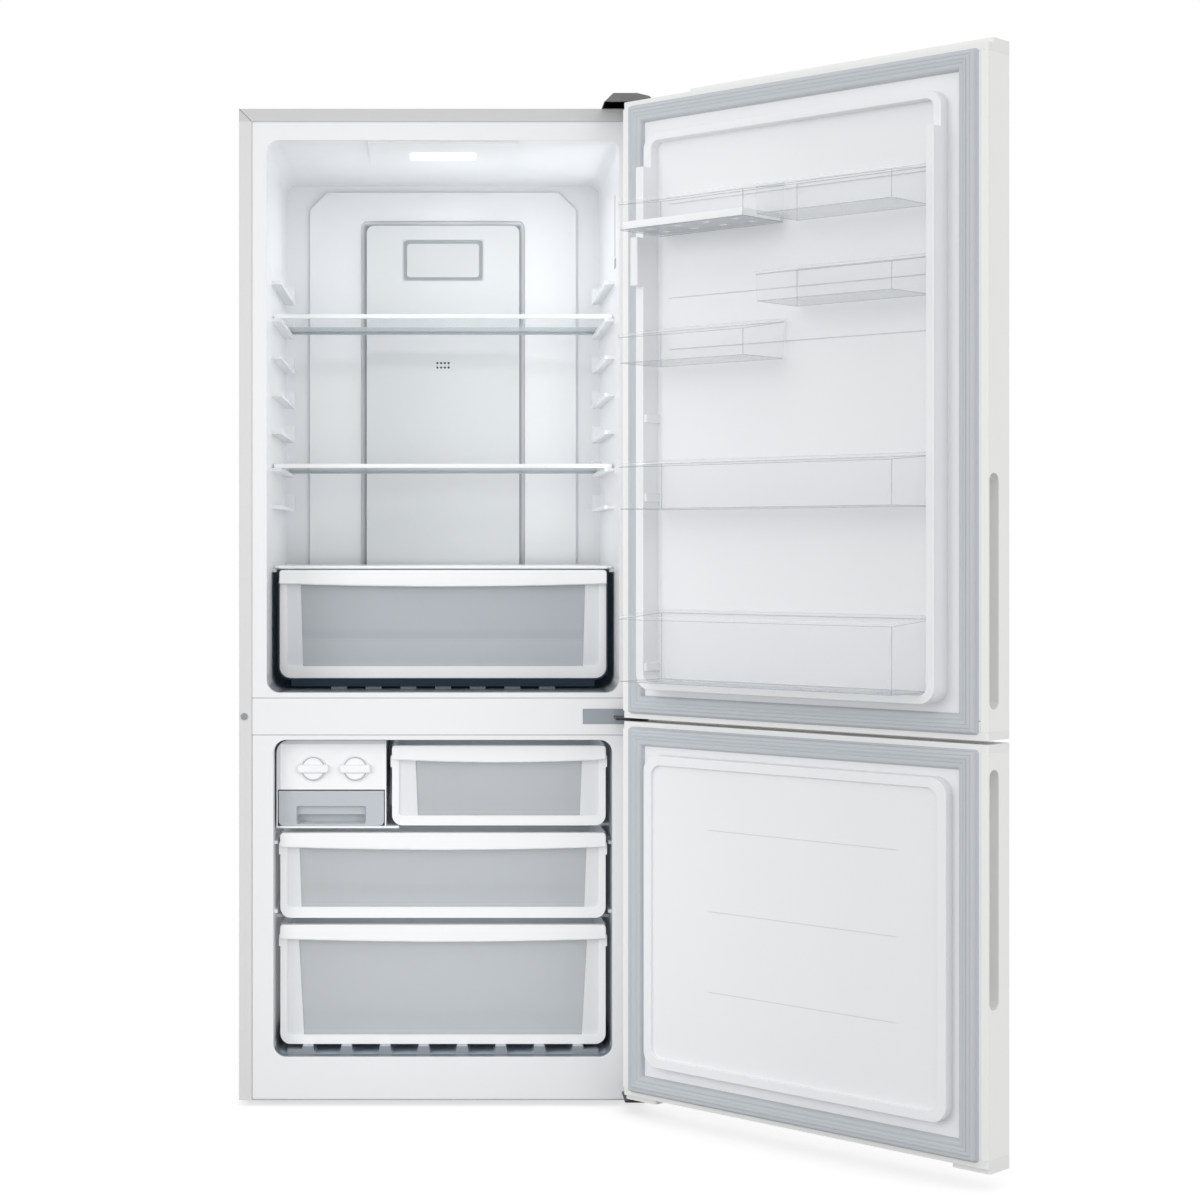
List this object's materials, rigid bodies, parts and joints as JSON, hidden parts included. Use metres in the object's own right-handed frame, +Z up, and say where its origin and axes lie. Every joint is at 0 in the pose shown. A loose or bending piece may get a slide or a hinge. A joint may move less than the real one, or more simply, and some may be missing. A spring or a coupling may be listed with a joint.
{
  "type": "bottom freezer refrigerator",
  "caption": "Free-standing refrigerator with a freezer below, both doors swung wide open on the right, shelves, a crisper, door bins, freezer drawers and a twist ice maker.",
  "frame": {"origin": "on the floor, under the middle of the cabinet's front edge", "axes": "+Z up, +X to the right as seen from the front, +Y back into the cabinet"},
  "size_m": [1.1982, 1.2171, 1.723],
  "materials": {
    "cabinet_paint": "satin",
    "door_paint": "satin",
    "zinc_sheet": "satin",
    "insulation": "matte",
    "liner_plastic": "satin",
    "duct_plastic": "satin",
    "white_plastic": "gloss",
    "cap_plastic": "satin",
    "clear_plastic": "gloss",
    "smoked_plastic": "satin",
    "tray_plastic": "satin",
    "shelf_pane": "gloss",
    "lamp_plastic": "satin",
    "seal_rubber": "matte",
    "dark_plastic": "matte",
    "hood_plastic": "satin",
    "hinge_steel": "satin",
    "plug_plastic": "satin",
    "foot_plastic": "matte",
    "coil_aluminium": "satin",
    "fan_plastic": "matte",
    "black_iron": "satin"
  },
  "bodies": {
    "root": {"cabinet_shell": "cabinet_paint", "rear_panels": "zinc_sheet", "base_plate": "zinc_sheet", "cabinet_foam": "insulation", "fridge_liner": "liner_plastic", "freezer_liner": "liner_plastic", "mullion_cover": "liner_plastic", "hinge_hole_plug": "plug_plastic", "air_duct_cover": "duct_plastic", "filter_cover": "duct_plastic", "evaporator_cover": "duct_plastic", "evaporator_coil": "coil_aluminium", "fan_motor": "fan_plastic", "compressor": "black_iron", "lamp_lens": "lamp_plastic", "levelling_feet": "foot_plastic", "top_hinge": "hinge_steel", "top_hinge_cover": "hood_plastic", "middle_hinge": "hinge_steel", "bottom_hinge": "hinge_steel", "shelf_glass": "shelf_pane", "upper_shelf_frame": "white_plastic", "lower_shelf_frame": "white_plastic", "crisper_cover": "white_plastic", "crisper_surround": "dark_plastic", "ice_maker_housing": "white_plastic"},
    "upper_door": {"upper_door_skin": "door_paint", "upper_door_foam": "insulation", "upper_door_liner": "liner_plastic", "upper_door_gasket": "seal_rubber", "upper_door_end_caps": "cap_plastic", "upper_door_grip": "cap_plastic", "top_hinge_side_bin": "clear_plastic", "top_handle_side_bin": "clear_plastic", "second_bin": "clear_plastic", "third_bin": "clear_plastic", "wide_door_bin": "clear_plastic", "bottle_door_bin": "clear_plastic", "egg_tray": "white_plastic"},
    "lower_door": {"lower_door_skin": "door_paint", "lower_door_foam": "insulation", "lower_door_liner": "liner_plastic", "lower_door_gasket": "seal_rubber", "lower_door_end_caps": "cap_plastic", "lower_door_grip": "cap_plastic"},
    "crisper_drawer": {"crisper": "smoked_plastic", "crisper_front": "white_plastic"},
    "bottom_drawer": {"bottom_freezer_drawer": "smoked_plastic", "bottom_freezer_drawer_front": "white_plastic"},
    "middle_drawer": {"middle_freezer_drawer": "smoked_plastic", "middle_freezer_drawer_front": "white_plastic"},
    "top_drawer": {"top_freezer_drawer": "smoked_plastic", "top_freezer_drawer_front": "white_plastic"},
    "ice_bin_slider": {"ice_bin": "smoked_plastic"},
    "left_twist_tray": {"left_ice_tray": "tray_plastic", "left_ice_knob": "white_plastic"},
    "right_twist_tray": {"right_ice_tray": "tray_plastic", "right_ice_knob": "white_plastic"},
    "fan": {"evaporator_fan": "fan_plastic"},
    "rollers": {"rear_rollers": "foot_plastic"}
  },
  "joints": [
    {"name": "upper_door_hinge", "type": "hinge", "parent": "root", "child": "upper_door", "pos_m": [0.337, -0.0473, 1.188], "axis": [0, 0, 1], "range_deg": [-136, 0]},
    {"name": "lower_door_hinge", "type": "hinge", "parent": "root", "child": "lower_door", "pos_m": [0.337, -0.0473, 0.35], "axis": [0, 0, 1], "range_deg": [-136, 0]},
    {"name": "crisper_slide", "type": "slide", "parent": "root", "child": "crisper_drawer", "axis": [0, -1, 0], "range_m": [0, 0.28]},
    {"name": "bottom_drawer_slide", "type": "slide", "parent": "root", "child": "bottom_drawer", "axis": [0, -1, 0], "range_m": [0, 0.22]},
    {"name": "middle_drawer_slide", "type": "slide", "parent": "root", "child": "middle_drawer", "axis": [0, -1, 0], "range_m": [0, 0.32]},
    {"name": "top_drawer_slide", "type": "slide", "parent": "root", "child": "top_drawer", "axis": [0, -1, 0], "range_m": [0, 0.32]},
    {"name": "ice_bin_slide", "type": "slide", "parent": "root", "child": "ice_bin_slider", "axis": [0, -1, 0], "range_m": [0, 0.24]},
    {"name": "left_tray_twist", "type": "hinge", "parent": "root", "child": "left_twist_tray", "pos_m": [-0.224, 0.16, 0.575], "axis": [0, 1, 0], "range_deg": [0, 130], "stiffness_Nm_per_rad": 0.05},
    {"name": "right_tray_twist", "type": "hinge", "parent": "root", "child": "right_twist_tray", "pos_m": [-0.1515, 0.16, 0.575], "axis": [0, 1, 0], "range_deg": [0, 130], "stiffness_Nm_per_rad": 0.05},
    {"name": "fan_spin", "type": "hinge", "parent": "root", "child": "fan", "pos_m": [0, 0.467, 0.545], "axis": [0, 1, 0], "continuous": true},
    {"name": "roller_spin", "type": "hinge", "parent": "root", "child": "rollers", "pos_m": [0, 0.597, 0.016], "axis": [1, 0, 0], "continuous": true}
  ]
}
